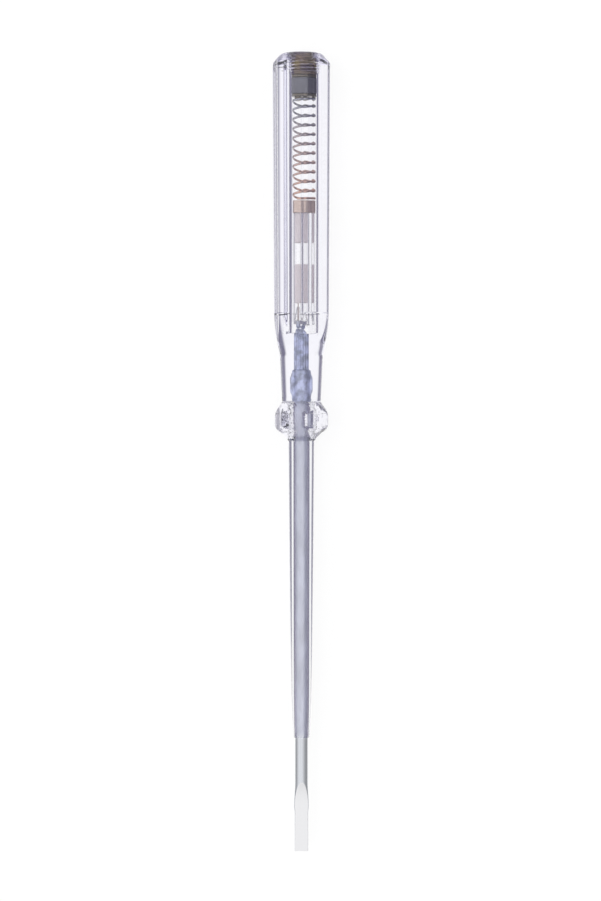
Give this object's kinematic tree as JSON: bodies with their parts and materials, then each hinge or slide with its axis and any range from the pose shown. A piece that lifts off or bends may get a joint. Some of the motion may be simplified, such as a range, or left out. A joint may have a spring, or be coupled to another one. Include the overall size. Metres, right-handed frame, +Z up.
{
  "type": "voltage tester screwdriver",
  "caption": "Long slim flat-blade voltage tester screwdriver: clear fluted handle with lamp, spring and resistor inside, screwed touch cap, clear sleeve on the blade.",
  "frame": {"origin": "under the middle of the tool's length, on the surface that the handle's lowest ridges lie on", "axes": "+Y along the tool from the blade's tip to the touch cap, +Z up, +X to the right seen from the tip"},
  "size_m": [0.0138, 0.19, 0.0129],
  "materials": {
    "clear_handle_plastic": "polished clear moulding with a slight violet tint",
    "clear_sleeve_plastic": "clear extruded tube, slightly hazy",
    "blade_steel": "bright nickel-plated tool steel, ground at the tip",
    "cap_metal": "turned, nickel-plated brass with a warm tone",
    "resistor_lacquer": "dark lacquered composition",
    "contact_metal": "pressed, plain",
    "spring_wire": "drawn wire, copper-washed",
    "lamp_glass": "clear drawn tube",
    "seal_glass": "melted bead",
    "electrode_metal": "thin drawn cup, copper tinted",
    "lead_wire": "copper-clad wire",
    "lamp_cap_metal": "thin pressed cap, copper-brown"
  },
  "bodies": {
    "tool": {"handle": "clear_handle_plastic", "blade": "blade_steel", "blade_sleeve": "clear_sleeve_plastic", "contact_spring": "spring_wire", "lamp_glass": "lamp_glass", "lamp_rear_cap": "lamp_cap_metal", "lamp_rear_seal": "seal_glass", "rear_electrode": "electrode_metal", "rear_lead": "lead_wire", "front_electrode": "electrode_metal", "front_lead": "lead_wire", "lamp_front_seal": "seal_glass", "lamp_front_contact": "contact_metal"},
    "resistor": {"resistor_body": "resistor_lacquer", "resistor_rear_contact": "contact_metal", "resistor_front_contact": "contact_metal"},
    "cap": {"contact_cap": "cap_metal"}
  },
  "joints": [
    {"name": "cap_travel", "type": "slide", "parent": "tool", "child": "resistor", "axis": [0, 1, 0], "range_m": [0, 0.004], "deforming": ["contact_spring"]},
    {"name": "cap_turn", "type": "hinge", "parent": "resistor", "child": "cap", "pos_m": [0, 0.09, 0.00646], "axis": [0, 1, 0], "range_deg": [0, 1800]}
  ],
  "couplings": [
    {"joint": "cap_turn", "follows": "cap_travel", "rad_per_m": 7854}
  ]
}
